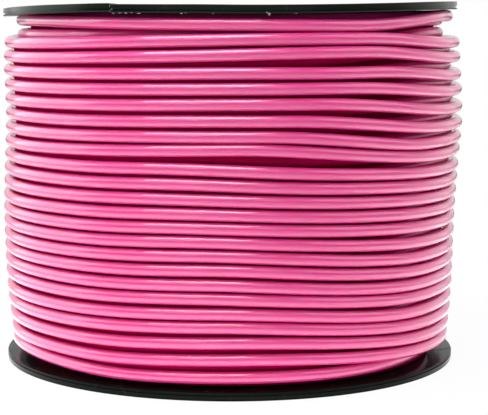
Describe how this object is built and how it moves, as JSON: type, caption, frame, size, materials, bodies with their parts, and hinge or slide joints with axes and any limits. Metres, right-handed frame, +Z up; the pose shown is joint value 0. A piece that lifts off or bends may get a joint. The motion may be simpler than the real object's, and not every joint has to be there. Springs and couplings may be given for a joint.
{
  "type": "line spool",
  "caption": "Flanged black plastic spool on a bored hub, wound over-full with thick glossy pink plastic line.",
  "frame": {"origin": "centre of the lower flange's resting face, on the spindle axis", "axes": "+Z up along the spindle axis, -Y towards the pictured front"},
  "size_m": [0.103, 0.103, 0.0793],
  "materials": {
    "flange_plastic": "gloss black moulded polystyrene",
    "barrel_plastic": "satin black moulded polystyrene",
    "line": "glossy opaque pink extruded line",
    "line_under": "the same line, in the shade of the outer turns"
  },
  "bodies": {
    "root": {"lower_flange": "flange_plastic", "upper_flange": "flange_plastic", "winding_barrel": "barrel_plastic", "arbor_tube": "barrel_plastic", "line_inner_layers": "line_under", "line_outer_layer": "line", "line_start_tail": "line"}
  },
  "joints": []
}
